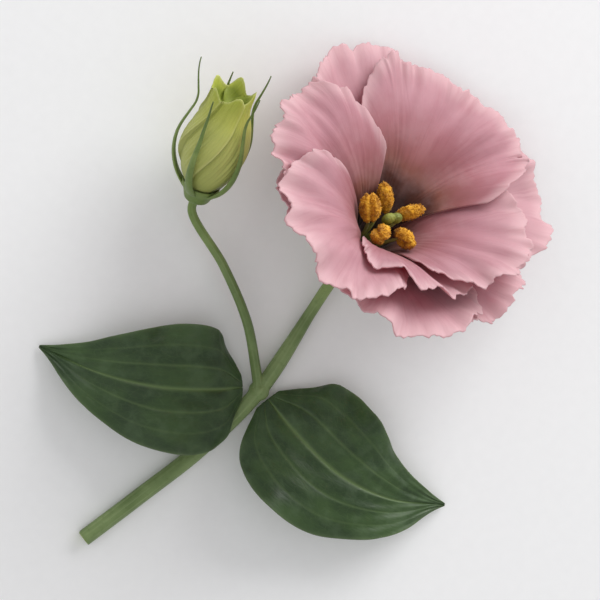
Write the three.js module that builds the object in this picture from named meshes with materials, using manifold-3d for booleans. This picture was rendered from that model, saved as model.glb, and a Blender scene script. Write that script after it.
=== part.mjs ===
import * as THREE from "three";
import { mergeVertices } from "three/addons/utils/BufferGeometryUtils.js";
import Module from "manifold-3d";

// A picked lisianthus bloom with its side bud and one pair of leaves, lying on a flat surface.
// Millimetres, Z up, the surface is z = 0, the stem runs along +Y to the bloom.

// ---- Driving sizes ----
const DEG = Math.PI / 180;
const SEAT_GAP = 0.3;

const BLOOM_TILT = 47 * DEG;
const BLOOM_FOOT = [0, 0, 11.4];
const CENTRE_SHIFT = [1.584, 20.994, 0];

const RECEPTACLE_RADIUS = 4.4;
const RECEPTACLE_DEPTH = 2.8;
const PEDICEL_RADIUS = 1.3;

const PETAL_THICK = 0.62;
const MARGIN_SWING = 104 * DEG;
const WIDEST_ANGLE = 62 * DEG;
const PETAL_COLUMNS = 16;
const PETAL_ROWS = 10;

// Angles of the funnel wall from the bloom's axis at six equal steps from claw to rim, in degrees.
const OUTER_WHORL = {
  foot: 4.2,
  claw: 1.5,
  waist: 3.4,
  reach: 40,
  closed: [12, 34, 44, 50, 56, 64],
  open: [16, 52, 66, 80, 92, 108],
  ruffle: 1.9,
  phase: 0.6,
};
const INNER_WHORL = {
  foot: 3.1,
  claw: 1.05,
  waist: 2.1,
  reach: 38,
  closed: [4, 16, 27, 35, 42, 50],
  open: [6, 32, 53, 67, 77, 90],
  ruffle: 1.7,
  phase: 2.4,
};

// Each petal: the bearing that it stands at round the axis, its size, how far it opens, and whether
// each edge lies inside (-1) or outside (+1) its neighbour. From turn's first angle to its second,
// across the petal, it crosses from one level to the other. Sweep turns its tip sideways, and the
// valley is how deep its middle folds.
const OUTER_PETALS = [
  { at: 49, length: 47, width: 43, open: 0.6, edges: [1, -1], turn: [-2, 14], sweep: 2, valley: 0.5 },
  { at: 121, length: 46, width: 42, open: 0.38, edges: [1, 1], sweep: -4, valley: 0.4 },
  { at: 196, length: 31, width: 37, open: 0.61, edges: [-1, 1], turn: [-14, 2], sweep: 2, valley: 0.6 },
  { at: 292, length: 35, width: 49, open: 0.58, edges: [-1, -1], sweep: -3, valley: 0.3 },
  { at: 352, length: 35, width: 37, open: 0.54, edges: [1, -1], turn: [-25, 16], sweep: 4, valley: 0.4 },
];
const INNER_PETALS = [
  { at: 85, length: 57, width: 45, open: 0.7, edges: [-1, 1], turn: [4, 26], sweep: 0, valley: 0.9 },
  { at: 173, length: 44, width: 34, open: 0.72, edges: [-1, 1], turn: [-12, 4], sweep: 7, valley: 0.5 },
  { at: 231, length: 44.5, width: 44, open: 0.76, edges: [-1, 1], turn: [-2, 10], sweep: 6, valley: 0.4 },
  { at: 301, length: 33, width: 36, open: 0.5, edges: [-1, 1], turn: [-6, 6], sweep: 4, valley: 0.5 },
  { at: 1, length: 39, width: 38, open: 0.48, edges: [-1, 1], turn: [-2, 28], sweep: 4, valley: 0.4 },
];

// ---- Small helpers ----
const mix = (a, b, w) => a + (b - a) * w;

function ramp(low, high, value) {
  const w = Math.min(1, Math.max(0, (value - low) / (high - low)));
  return w * w * (3 - 2 * w);
}

const wasm = await Module();
wasm.setup();

function toSolid(geometry) {
  const plain = geometry.clone();
  plain.deleteAttribute("normal");
  plain.deleteAttribute("uv");
  const merged = mergeVertices(plain, 1e-5);
  const mesh = new wasm.Mesh({
    numProp: 3,
    vertProperties: new Float32Array(merged.attributes.position.array),
    triVerts: new Uint32Array(merged.index.array),
  });
  return new wasm.Manifold(mesh);
}

function toGeometry(solid) {
  const mesh = solid.getMesh();
  const geometry = new THREE.BufferGeometry();
  geometry.setAttribute("position", new THREE.BufferAttribute(mesh.vertProperties, 3));
  geometry.setIndex(new THREE.BufferAttribute(mesh.triVerts, 1));
  return geometry;
}

function fuse(geometries) {
  let solid = toSolid(geometries[0]);
  for (const geometry of geometries.slice(1)) {
    solid = solid.add(toSolid(geometry));
  }
  return toGeometry(solid);
}

function closedMesh(points, faces) {
  const geometry = new THREE.BufferGeometry();
  geometry.setAttribute("position", new THREE.Float32BufferAttribute(points.flat(), 3));
  let volume = 0;
  for (const [a, b, c] of faces) {
    const [ax, ay, az] = points[a];
    const [bx, by, bz] = points[b];
    const [cx, cy, cz] = points[c];
    volume += ax * (by * cz - bz * cy) + ay * (bz * cx - bx * cz) + az * (bx * cy - by * cx);
  }
  const outward = volume > 0 ? faces : faces.map(([a, b, c]) => [a, c, b]);
  geometry.setIndex(outward.flat());
  return geometry;
}

// A thin blade: a grid of middle points thickened along its own normals, both faces cut into
// triangles alike, closed round its four sides.
function blade(columns, rows, middle, thickness) {
  const step = 1e-3;
  const front = [];
  const back = [];
  for (let j = 0; j <= rows; j++) {
    for (let i = 0; i <= columns; i++) {
      const u = -1 + (2 * i) / columns;
      const t = j / rows;
      const u0 = Math.max(-1, u - step);
      const u1 = Math.min(1, u + step);
      const t0 = Math.max(0, t - step);
      const t1 = Math.min(1, t + step);
      const centre = middle(u, t);
      const along = middle(u, t1).sub(middle(u, t0));
      const across = middle(u1, t).sub(middle(u0, t));
      const normal = across.cross(along).normalize();
      const half = thickness(u, t) / 2;
      front.push(centre.clone().addScaledVector(normal, half).toArray());
      back.push(centre.clone().addScaledVector(normal, -half).toArray());
    }
  }
  const points = front.concat(back);
  const shift = front.length;
  const at = (i, j) => j * (columns + 1) + i;
  const faces = [];
  for (let j = 0; j < rows; j++) {
    for (let i = 0; i < columns; i++) {
      const a = at(i, j);
      const b = at(i + 1, j);
      const c = at(i + 1, j + 1);
      const d = at(i, j + 1);
      faces.push([a, b, c], [a, c, d]);
      faces.push([a + shift, c + shift, b + shift], [a + shift, d + shift, c + shift]);
    }
  }
  const rim = [];
  for (let i = 0; i < columns; i++) rim.push(at(i, 0));
  for (let j = 0; j < rows; j++) rim.push(at(columns, j));
  for (let i = columns; i > 0; i--) rim.push(at(i, rows));
  for (let j = rows; j > 0; j--) rim.push(at(0, j));
  rim.forEach((a, k) => {
    const b = rim[(k + 1) % rim.length];
    faces.push([a, b + shift, b], [a, a + shift, b + shift]);
  });
  return closedMesh(points, faces);
}

// A solid swept along a path: each ring is sized and shaped by the section function.
function sweep(path, steps, sides, section) {
  const up = new THREE.Vector3(0, 0, 1);
  const points = [];
  for (let j = 0; j <= steps; j++) {
    const t = j / steps;
    const centre = path.getPoint(t);
    const tangent = path.getTangent(t);
    const side = new THREE.Vector3().crossVectors(tangent, up).normalize();
    const lift = new THREE.Vector3().crossVectors(side, tangent);
    for (let i = 0; i < sides; i++) {
      const turn = (2 * Math.PI * (i + 0.5)) / sides - Math.PI / 2;
      const [x, y] = section(t, turn);
      points.push(centre.clone().addScaledVector(side, x).addScaledVector(lift, y).toArray());
    }
  }
  const faces = [];
  for (let j = 0; j < steps; j++) {
    for (let i = 0; i < sides; i++) {
      const a = j * sides + i;
      const b = j * sides + ((i + 1) % sides);
      faces.push([a, b, b + sides], [a, b + sides, a + sides]);
    }
  }
  const last = steps * sides;
  for (let i = 1; i < sides - 1; i++) {
    faces.push([0, i + 1, i], [last, last + i, last + i + 1]);
  }
  return closedMesh(points, faces);
}

const round = (radiusAt) => (t, turn) => {
  const radius = radiusAt(t);
  return [radius * Math.cos(turn), radius * Math.sin(turn)];
};

function curve(points) {
  return new THREE.CatmullRomCurve3(points.map((p) => new THREE.Vector3(...p)), false, "centripetal");
}

// Reads a half-width outline, drawn as [share of length, share of width], at a share of its length.
function outlineAt(outline, share) {
  let low = 0;
  let high = 1;
  for (let k = 0; k < 30; k++) {
    const middle = (low + high) / 2;
    if (outline.getPoint(middle).x < share) low = middle;
    else high = middle;
  }
  return outline.getPoint(low).y;
}

// Turns a shape built round +Z from its foot onto an axis that leaves a foot point.
function stand(geometry, foot, axis) {
  const zAxis = new THREE.Vector3(...axis).normalize();
  const level = new THREE.Vector3(zAxis.y, -zAxis.x, 0).normalize();
  const third = new THREE.Vector3().crossVectors(zAxis, level);
  const matrix = new THREE.Matrix4().makeBasis(level, third, zAxis);
  matrix.setPosition(...foot);
  return geometry.applyMatrix4(matrix);
}

// ---- The bloom ----
function makeProfile(foot, reach, angles) {
  const steps = 60;
  const span = 1.2;
  const rows = [];
  let r = foot;
  let z = SEAT_GAP;
  for (let k = 0; k <= steps; k++) {
    const s = (span * k) / steps;
    const place = Math.min(s * 5, 5 - 1e-9);
    const cell = Math.floor(place);
    const past = Math.max(0, s - 1) * 5;
    const slope = angles[cell + 1] - angles[cell];
    const angle = (angles[cell] + slope * (place - cell + past)) * DEG;
    rows.push([r, z, Math.sin(angle), Math.cos(angle)]);
    r += (Math.sin(angle) * reach * span) / steps;
    z += (Math.cos(angle) * reach * span) / steps;
  }
  return (y) => {
    const place = Math.min(steps - 1e-6, Math.max(0, (y / (reach * span)) * steps));
    const cell = Math.floor(place);
    const w = place - cell;
    return rows[cell].map((value, k) => mix(value, rows[cell + 1][k], w));
  };
}

for (const whorl of [OUTER_WHORL, INNER_WHORL]) {
  whorl.closedAt = makeProfile(whorl.foot, whorl.reach, whorl.closed);
  whorl.openAt = makeProfile(whorl.foot, whorl.reach, whorl.open);
}
OUTER_WHORL.petals = OUTER_PETALS;
INNER_WHORL.petals = INNER_PETALS;

// How far the funnel opens at a bearing: a smooth blend of its petals' own values.
function opening(whorl, bearing) {
  let sum = 0;
  let weight = 0;
  for (const petal of whorl.petals) {
    const near = Math.exp(7 * (Math.cos(bearing - petal.at * DEG) - 1));
    sum += near * petal.open;
    weight += near;
  }
  return sum / weight;
}

// Waves of the rim, shared by a whole layer so that neighbours nest in each other.
function rimWave(whorl, bearing, y) {
  const rise = ramp(0.42, 1.05, y / whorl.reach);
  const drift = 1.2 * Math.sin(2 * bearing + whorl.phase) + 0.8 * Math.sin(3 * bearing - whorl.phase);
  const long = Math.sin(9 * bearing + drift);
  const short = Math.sin(14 * bearing - 1.6 * drift + 0.16 * y);
  return whorl.ruffle * rise * (0.62 * long + 0.5 * short);
}

function stackStep(whorl, y) {
  return 1.1 * ramp(0.2, 4.3, y) + 1.1 * ramp(0.45 * whorl.reach, whorl.reach, y);
}

// A petal laid flat: veins fan from the claw to a broad round margin.
function petalOutline(whorl, petal, u, t) {
  const swing = u * MARGIN_SWING;
  const marginX = (petal.width / 2) * Math.sin(swing) * (1 + 0.07 * Math.sin(2 * swing) ** 2);
  const crown = Math.cos(swing) * (1 + 0.22 * Math.sin(swing) ** 2);
  const marginY = petal.length * (0.62 + 0.38 * crown);
  const teeth = 0.014 * Math.sin(12 * swing + petal.at) + 0.012 * Math.sin(19 * swing - petal.at);
  const rim = t * t * (1 + teeth);
  const x = (1 - t) ** 2 * u * whorl.claw + 2 * t * (1 - t) * u * whorl.waist + rim * marginX;
  const y = 2 * t * (1 - t) * 0.46 * marginY + rim * marginY;
  return [x, y];
}

function funnelPoint(whorl, bearing, y, out) {
  const open = opening(whorl, bearing);
  const a = whorl.closedAt(y);
  const b = whorl.openAt(y);
  const [r, z, sinWall, cosWall] = a.map((value, k) => mix(value, b[k], open));
  const norm = Math.hypot(sinWall, cosWall);
  const radius = r + (out * cosWall) / norm;
  const height = z - (out * sinWall) / norm;
  return new THREE.Vector3(radius * Math.cos(bearing), radius * Math.sin(bearing), height);
}

function petalMiddle(whorl, petal, u, t) {
  const [x, y] = petalOutline(whorl, petal, u, t);
  const centre = petal.at * DEG;
  const open = opening(whorl, centre);
  const radius = mix(whorl.closedAt(y)[0], whorl.openAt(y)[0], open);
  const raw = x / radius;
  const spread = raw / (1 + (raw / WIDEST_ANGLE) ** 4) ** 0.25;
  const bearing = centre + spread + petal.sweep * DEG * (y / petal.length) ** 2;
  const [first, last] = petal.edges;
  const [turnFrom, turnTo] = petal.turn || [0, 1];
  const level = 0.5 + 0.5 * mix(first, last, ramp(turnFrom * DEG, turnTo * DEG, spread));
  const valley = petal.valley * Math.exp(-((u / 0.3) ** 2)) * ramp(0.1, 0.7, y / petal.length);
  const out = level * stackStep(whorl, y) + rimWave(whorl, bearing, y) + valley;
  return funnelPoint(whorl, bearing, y, out);
}

function petalSolid(whorl, petal) {
  const middle = (u, t) => petalMiddle(whorl, petal, u, t);
  return blade(PETAL_COLUMNS, PETAL_ROWS, middle, () => PETAL_THICK);
}

const bloomAxis = [0, Math.cos(BLOOM_TILT), Math.sin(BLOOM_TILT)];
const inBloom = (geometry) => stand(geometry, BLOOM_FOOT, bloomAxis);

// A surface of revolution round +Z, given as [radius, height] corners of its closed section.
function turned(corners, sides) {
  const outline = corners.map(([r, z]) => new THREE.Vector2(r, z));
  const geometry = new THREE.LatheGeometry(outline, sides);
  geometry.rotateX(Math.PI / 2);
  return geometry;
}

// ---- Calyx: a short cup whose five keeled sepals follow the underside of the petals ----
const SEPAL_THICK = 0.8;
const SEPAL_BEARINGS = [22, 92, 160, 236, 318];
const SEPAL_LENGTHS = [23, 20, 22, 24, 21];
const CUP_SIDES = 30;
const CUP_RIM = 2.2;
const SEPAL_CLEAR = PETAL_THICK / 2 + SEAT_GAP + 0.2 + SEPAL_THICK / 2;

function calyxPoint(bearing, y, extra) {
  return funnelPoint(OUTER_WHORL, bearing, y, stackStep(OUTER_WHORL, y) + SEPAL_CLEAR + extra);
}

function calyxCup() {
  const points = [];
  const rings = [
    (b) => around(b, PEDICEL_RADIUS + 1.0, -RECEPTACLE_DEPTH),
    (b) => around(b, RECEPTACLE_RADIUS + 0.5, 0),
    (b) => calyxPoint(b, 0.6, -SEPAL_THICK / 2),
    (b) => calyxPoint(b, CUP_RIM, -SEPAL_THICK / 2),
    (b) => calyxPoint(b, CUP_RIM, SEPAL_THICK / 2),
    (b) => calyxPoint(b, 0.6, SEPAL_THICK / 2),
    (b) => around(b, RECEPTACLE_RADIUS + 1.3, -0.4),
    (b) => around(b, PEDICEL_RADIUS + 1.5, -RECEPTACLE_DEPTH - 0.7),
  ];
  rings.forEach((ring) => {
    for (let i = 0; i < CUP_SIDES; i++) points.push(ring((2 * Math.PI * i) / CUP_SIDES).toArray());
  });
  const faces = [];
  rings.forEach((ring, j) => {
    for (let i = 0; i < CUP_SIDES; i++) {
      const next = (i + 1) % CUP_SIDES;
      const row = j * CUP_SIDES;
      const above = ((j + 1) % rings.length) * CUP_SIDES;
      faces.push([row + i, row + next, above + next], [row + i, above + next, above + i]);
    }
  });
  return closedMesh(points, faces);
}

function around(bearing, r, z) {
  return new THREE.Vector3(r * Math.cos(bearing), r * Math.sin(bearing), z);
}

// One sepal: a keeled strip that tapers to a thread and lifts off the petals at its tip.
function sepal(bearing, length) {
  const steps = 9;
  const points = [];
  for (let j = 0; j <= steps; j++) {
    const t = j / steps;
    const y = mix(1.2, length, t);
    const half = mix(1.7, 0.32, t ** 0.6) * (1 + 0.25 * Math.sin(Math.PI * Math.min(1, t * 1.6)));
    const lift = 1.6 * ramp(0.45, 1, t);
    const radius = calyxPoint(bearing, y, 0).setZ(0).length();
    const swing = half / radius;
    points.push(calyxPoint(bearing - swing, y, lift - 0.1).toArray());
    points.push(calyxPoint(bearing, y, lift - SEPAL_THICK / 2).toArray());
    points.push(calyxPoint(bearing + swing, y, lift - 0.1).toArray());
    points.push(calyxPoint(bearing, y, lift + mix(0.75, 0.35, t)).toArray());
  }
  return closedMesh(points, ladder(steps, 4));
}

// Faces of a body made of rings of points, one after another, closed at both ends.
function ladder(steps, sides) {
  const faces = [];
  for (let j = 0; j < steps; j++) {
    for (let i = 0; i < sides; i++) {
      const a = j * sides + i;
      const b = j * sides + ((i + 1) % sides);
      faces.push([a, b, b + sides], [a, b + sides, a + sides]);
    }
  }
  const last = steps * sides;
  for (let i = 1; i < sides - 1; i++) {
    faces.push([0, i + 1, i], [last, last + i, last + i + 1]);
  }
  return faces;
}

// ---- Stamens and pistil ----
const ANTHER = { length: 7.2, width: 5.1, thick: 4 };
const STAMENS = [
  { bearing: 52, reach: 5.2, height: 13.4, lean: 24, twist: 20 },
  { bearing: 122, reach: 5.1, height: 13.0, lean: 40, twist: -20 },
  { bearing: 190, reach: 5.3, height: 13.7, lean: 32, twist: 30 },
  { bearing: 258, reach: 4.92, height: 12.95, lean: 53, twist: -12 },
  { bearing: 324, reach: 4.8, height: 13.6, lean: 38, twist: 22 },
];
const FILAMENT_RING = 2.2;
const FILAMENT_RADIUS = 0.38;

function antherShape() {
  const steps = 6;
  const sides = 10;
  const points = [];
  for (let j = 0; j <= steps; j++) {
    const t = j / steps;
    const size = 0.3 + 0.7 * Math.sin(Math.PI * (0.08 + 0.84 * t)) ** 0.6;
    for (let i = 0; i < sides; i++) {
      const turn = (2 * Math.PI * i) / sides;
      const groove = 1 - 0.28 * Math.cos(turn * 2 + Math.PI) ** 6 * Math.abs(Math.sin(turn)) ** 4;
      const x = (ANTHER.width / 2) * size * Math.cos(turn);
      const y = (ANTHER.thick / 2) * size * Math.sin(turn) * groove;
      points.push([x, y, ANTHER.length * (t - 0.5)]);
    }
  }
  return closedMesh(points, ladder(steps, sides));
}

function stamenSolid(stamen) {
  const bearing = stamen.bearing * DEG;
  const path = curve([
    around(bearing, FILAMENT_RING, SEAT_GAP).toArray(),
    around(bearing, FILAMENT_RING + 0.1, stamen.height * 0.45).toArray(),
    around(bearing, mix(FILAMENT_RING, stamen.reach, 0.5), stamen.height * 0.78).toArray(),
    around(bearing, stamen.reach, stamen.height).toArray(),
  ]);
  const points = [];
  const steps = 6;
  const sides = 6;
  const spoke = around(bearing, 1, 0);
  for (let j = 0; j <= steps; j++) {
    const t = j / steps;
    const centre = path.getPoint(t);
    const tangent = path.getTangent(t);
    const side = new THREE.Vector3().crossVectors(spoke, tangent).normalize();
    const lift = new THREE.Vector3().crossVectors(tangent, side);
    const radius = FILAMENT_RADIUS * mix(1.1, 0.8, t);
    for (let i = 0; i < sides; i++) {
      const turn = (2 * Math.PI * i) / sides;
      const offset = side.clone().multiplyScalar(radius * Math.cos(turn));
      offset.addScaledVector(lift, radius * Math.sin(turn));
      points.push(centre.clone().add(offset).toArray());
    }
  }
  const filament = closedMesh(points, ladder(steps, sides));
  const anther = antherShape();
  anther.rotateY(stamen.lean * DEG);
  anther.rotateX(stamen.twist * DEG);
  anther.rotateZ(bearing);
  anther.translate(...around(bearing, stamen.reach + 0.3, stamen.height + 0.5).toArray());
  return fuse([filament, anther]);
}

const PISTIL = { ovary: 1.45, style: 0.7, neck: 7.5, top: 13.2, lobe: [1.6, 1.05, 1.4] };

function pistilSolid() {
  const body = turned([
    [0, SEAT_GAP],
    [1.0, SEAT_GAP],
    [PISTIL.ovary, 2.2],
    [PISTIL.ovary, 4.2],
    [PISTIL.style + 0.3, PISTIL.neck - 1.2],
    [PISTIL.style, PISTIL.neck],
    [PISTIL.style, PISTIL.top],
    [0, PISTIL.top + 0.4],
  ], 12);
  const lobes = [-1, 1].map((side) => {
    const lobe = new THREE.SphereGeometry(1, 10, 8);
    lobe.scale(...PISTIL.lobe);
    lobe.rotateY(side * 35 * DEG);
    lobe.translate(side * 0.95, 0, PISTIL.top + 0.9);
    return lobe.rotateZ(40 * DEG);
  });
  return fuse([body, ...lobes]);
}

// ---- Stem with its two pedicels ----
const STEM_RADIUS = 1.75;
const NODE_POINT = [0.4, -37, 2.3];
const PEDICEL_REST = 1.8;
const PEDICEL_BEND = (BLOOM_FOOT[2] - PEDICEL_REST) / (1 - Math.cos(BLOOM_TILT));

// The pedicel lifts off the surface in one arc that ends along the bloom's axis.
function pedicelPoint(share, aside) {
  const turn = BLOOM_TILT * share;
  const y = BLOOM_FOOT[1] - PEDICEL_BEND * (Math.sin(BLOOM_TILT) - Math.sin(turn));
  return [BLOOM_FOOT[0] + aside, y, PEDICEL_REST + PEDICEL_BEND * (1 - Math.cos(turn))];
}

const STEM_PATH = [
  [-15, -84, 1.7],
  [-9.5, -70, 1.7],
  [-3.5, -54, 1.72],
  NODE_POINT,
  pedicelPoint(0.22, 0.9),
  pedicelPoint(0.45, 0.6),
  pedicelPoint(0.7, 0.2),
  pedicelPoint(0.97, 0),
];
const BUD_FOOT = [-36, -7, 9.5];
const BUD_AXIS = [-0.3, 0.84, 0.45];
const BUD_RECEPTACLE = 2.3;
const BUD_PATH = [
  NODE_POINT,
  [-3.6, -32.8, 4.0],
  [-11, -25.5, 6.0],
  [-22, -18, 6.4],
  BUD_FOOT.map((value, k) => value - BUD_AXIS[k] * 5.5),
  BUD_FOOT.map((value, k) => value - BUD_AXIS[k] * 0.8),
];

function stemSolid() {
  const nodeAt = 0.52;
  const main = sweep(curve(STEM_PATH), 36, 10, round((t) => {
    const taper = mix(STEM_RADIUS, PEDICEL_RADIUS, ramp(nodeAt - 0.06, nodeAt + 0.06, t));
    return taper + 0.35 * ramp(0.85, 1, t);
  }));
  const side = sweep(curve(BUD_PATH), 18, 8, round((t) => mix(1.15, 0.95, t) + 0.2 * ramp(0.85, 1, t)));
  const knot = new THREE.SphereGeometry(1, 12, 8);
  knot.scale(2.3, 2.2, 2.2);
  knot.translate(...NODE_POINT);
  const top = inBloom(turned([
    [0, -RECEPTACLE_DEPTH],
    [PEDICEL_RADIUS + 0.4, -RECEPTACLE_DEPTH],
    [RECEPTACLE_RADIUS, -0.3],
    [RECEPTACLE_RADIUS, 0],
    [0, 0],
  ], 20));
  const budTop = stand(turned([
    [0, -1.6],
    [1.1, -1.6],
    [BUD_RECEPTACLE, -0.2],
    [BUD_RECEPTACLE, 0],
    [0, 0],
  ], 12), BUD_FOOT, BUD_AXIS);
  return fuse([main, knot, side, top, budTop]);
}

// ---- Leaves ----
const LEAF_THICK = 0.7;
const LEAF_COLUMNS = 12;
const LEAF_ROWS = 16;
const LEAF_OUTLINE = curve([
  [0, 0.2, 0], [0.08, 0.5, 0], [0.2, 0.84, 0], [0.36, 1, 0], [0.52, 0.93, 0],
  [0.7, 0.66, 0], [0.85, 0.34, 0], [0.95, 0.11, 0], [1, 0.02, 0],
]);
const LEAVES = {
  leaf_right: {
    spine: [[3.05, -37.5, 2.6], [10, -40, 6.4], [23, -43, 8.6], [37, -42, 6.2], [50, -37, 1]],
    width: 31,
    roll: -6,
    phase: 0.4,
    droop: 0.13,
  },
  leaf_left: {
    spine: [[-3.5, -38.2, 3.6], [-9, -41.3, 7.4], [-20.5, -47.2, 9.2], [-33, -51.5, 6.4], [-45.5, -53.5, 1]],
    width: 28,
    roll: 7,
    phase: 2.1,
    droop: 0.15,
  },
};

function leafSolid(leaf) {
  const spine = curve(leaf.spine);
  const middle = (u, t) => {
    const point = spine.getPoint(t);
    const tangent = spine.getTangent(t);
    const side = new THREE.Vector3(tangent.y, -tangent.x, 0).normalize();
    side.applyAxisAngle(tangent, leaf.roll * DEG);
    const lift = new THREE.Vector3().crossVectors(side, tangent).normalize();
    const half = (leaf.width / 2) * outlineAt(LEAF_OUTLINE, t);
    const wave = 1.8 * u * u * ramp(0.08, 0.4, t) * Math.sin(16 * t + leaf.phase + Math.sign(u) * 1.1);
    const fold = 2.4 * Math.abs(u) ** 1.3 * ramp(0, 0.35, t);
    const rise = -leaf.droop * half * u * u + (fold + wave) * (half / 13);
    return point.addScaledVector(side, u * half).addScaledVector(lift, rise);
  };
  return blade(LEAF_COLUMNS, LEAF_ROWS, middle, () => LEAF_THICK);
}

// ---- Side bud ----
const BUD = { length: 24, radius: 6.9, twist: 1.3, tip: 2.2, hollow: 2.6 };
const BUD_OUTLINE = curve([
  [0, 0.23, 0], [0.06, 0.4, 0], [0.18, 0.74, 0], [0.34, 0.96, 0], [0.5, 1, 0],
  [0.7, 0.87, 0], [0.86, 0.68, 0], [1, 0.6, 0],
]);

function budRadius(t) {
  return BUD.radius * outlineAt(BUD_OUTLINE, t);
}

// The rolled petals overlap like a pinwheel, and each ends in a tip that stands over the hollow top.
function budPoint(bearing, t, inward) {
  const fold = ((bearing / (2 * Math.PI)) * 5 - BUD.twist * t + 20) % 1;
  const ridge = 0.17 * (fold - 0.5) * ramp(0.05, 0.4, t);
  const tip = BUD.tip * Math.sin(Math.PI * fold ** 1.4) ** 2 * ramp(0.78, 1, t);
  const r = budRadius(t) * (1 + ridge * (1 - inward)) * mix(1, 0.25, inward);
  const z = SEAT_GAP + BUD.length * t + tip * (1 - inward) - BUD.hollow * inward ** 0.6;
  return around(bearing, r, z);
}

function budSolid() {
  const steps = 16;
  const sides = 30;
  const inner = 3;
  const points = [];
  for (let j = 0; j <= steps + inner; j++) {
    const t = Math.min(1, j / steps);
    const inward = Math.max(0, (j - steps) / inner);
    for (let i = 0; i < sides; i++) {
      const bearing = (2 * Math.PI * i) / sides + (2 * Math.PI * BUD.twist * (t + 0.5 * inward)) / 5;
      points.push(budPoint(bearing, t, inward).toArray());
    }
  }
  return closedMesh(points, ladder(steps + inner, sides));
}

const BUD_SEPALS = [
  { bearing: 20, length: 29, flare: 2.5 },
  { bearing: 90, length: 26, flare: 1.2 },
  { bearing: 164, length: 30, flare: 3 },
  { bearing: 234, length: 25, flare: 1.5 },
  { bearing: 306, length: 28, flare: 2 },
];

function budSepal({ bearing, length, flare }) {
  const steps = 10;
  const points = [];
  for (let j = 0; j <= steps; j++) {
    const t = j / steps;
    const z = mix(0.2, length, t);
    const beside = budRadius(Math.min(0.92, z / BUD.length));
    const r = Math.max(beside * 1.09 + 0.75, BUD_RECEPTACLE + 1.1) + flare * ramp(0.55, 1, t);
    const half = mix(1.25, 0.3, t ** 0.7);
    const at = (side, out) => {
      const spoke = around(bearing * DEG, r + out, z);
      return spoke.add(around(bearing * DEG + Math.PI / 2, side, 0)).toArray();
    };
    points.push(at(-half, 0.12), at(0, -0.3), at(half, 0.12), at(0, mix(0.7, 0.34, t)));
  }
  return closedMesh(points, ladder(steps, 4));
}

function budCalyxSolid() {
  const cup = turned([
    [1.7, -1.9],
    [2.4, -2.4],
    [BUD_RECEPTACLE + 1.1, -0.3],
    [BUD_RECEPTACLE + 2.0, 1.6],
    [BUD_RECEPTACLE + 1.3, 1.6],
    [BUD_RECEPTACLE + 0.45, -0.1],
    [1.7, -1.9],
  ], 20);
  return fuse([cup, ...BUD_SEPALS.map(budSepal)]);
}

// ---- Assembly ----
const flower = new THREE.Group();

// A petal that reaches the surface ends there in a small flat spot.
function pressed(geometry) {
  return toGeometry(toSolid(geometry).trimByPlane([0, 0, 1], 0));
}

function addPiece(name, geometry, colour, roughness) {
  geometry.translate(...CENTRE_SHIFT);
  const material = new THREE.MeshStandardMaterial({ color: colour, roughness, metalness: 0 });
  const mesh = new THREE.Mesh(geometry, material);
  mesh.name = name;
  flower.add(mesh);
}

OUTER_PETALS.forEach((petal, k) => {
  addPiece(`petal_outer_${k + 1}`, pressed(inBloom(petalSolid(OUTER_WHORL, petal))), 0xe3aab2, 0.6);
});
INNER_PETALS.forEach((petal, k) => {
  addPiece(`petal_inner_${k + 1}`, inBloom(petalSolid(INNER_WHORL, petal)), 0xdb9aa6, 0.6);
});

const calyx = fuse([calyxCup(), ...SEPAL_BEARINGS.map((b, k) => sepal(b * DEG, SEPAL_LENGTHS[k]))]);
addPiece("calyx", inBloom(calyx), 0x7f9a4a, 0.6);
STAMENS.forEach((stamen, k) => {
  addPiece(`stamen_${k + 1}`, inBloom(stamenSolid(stamen)), 0xd09a2c, 0.7);
});
addPiece("pistil", inBloom(pistilSolid()), 0xa9b45a, 0.6);
addPiece("stem", stemSolid(), 0x6f8f4e, 0.6);
for (const [name, leaf] of Object.entries(LEAVES)) {
  addPiece(name, leafSolid(leaf), 0x3f5a38, 0.55);
}
addPiece("bud_calyx", stand(budCalyxSolid(), BUD_FOOT, BUD_AXIS), 0x7f9a4a, 0.6);
addPiece("bud_corolla", stand(budSolid(), BUD_FOOT, BUD_AXIS), 0xb4bd6c, 0.55);

export default flower;
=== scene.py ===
import math
from functools import partial

import bpy
import numpy as np
from mathutils import Matrix, Vector, noise


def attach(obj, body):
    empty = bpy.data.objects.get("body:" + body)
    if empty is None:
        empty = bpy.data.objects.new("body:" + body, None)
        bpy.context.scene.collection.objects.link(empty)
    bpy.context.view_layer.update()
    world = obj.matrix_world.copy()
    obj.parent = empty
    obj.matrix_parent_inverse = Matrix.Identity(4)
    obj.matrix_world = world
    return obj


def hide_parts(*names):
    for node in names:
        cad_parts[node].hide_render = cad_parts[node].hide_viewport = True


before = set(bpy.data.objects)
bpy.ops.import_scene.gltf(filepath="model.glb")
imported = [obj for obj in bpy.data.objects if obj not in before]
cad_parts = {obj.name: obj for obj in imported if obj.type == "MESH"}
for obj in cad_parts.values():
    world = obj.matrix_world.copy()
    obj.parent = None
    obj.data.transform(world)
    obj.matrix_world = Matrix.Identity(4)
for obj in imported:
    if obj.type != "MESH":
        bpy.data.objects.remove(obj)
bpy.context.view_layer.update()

MM = 0.001
DEG = math.pi / 180
TAU = 2 * math.pi

# ---- Sizes shared with the solids, in millimetres ----
SEAT_GAP = 0.3
BLOOM_TILT = 47 * DEG
BLOOM_FOOT = (0, 0, 11.4)
CENTRE_SHIFT = np.array([1.584, 20.994, 0])
RECEPTACLE_RADIUS = 4.4
RECEPTACLE_DEPTH = 2.8
PEDICEL_RADIUS = 1.3
PETAL_THICK = 0.62
MARGIN_SWING = 104 * DEG
WIDEST_ANGLE = 62 * DEG

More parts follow.
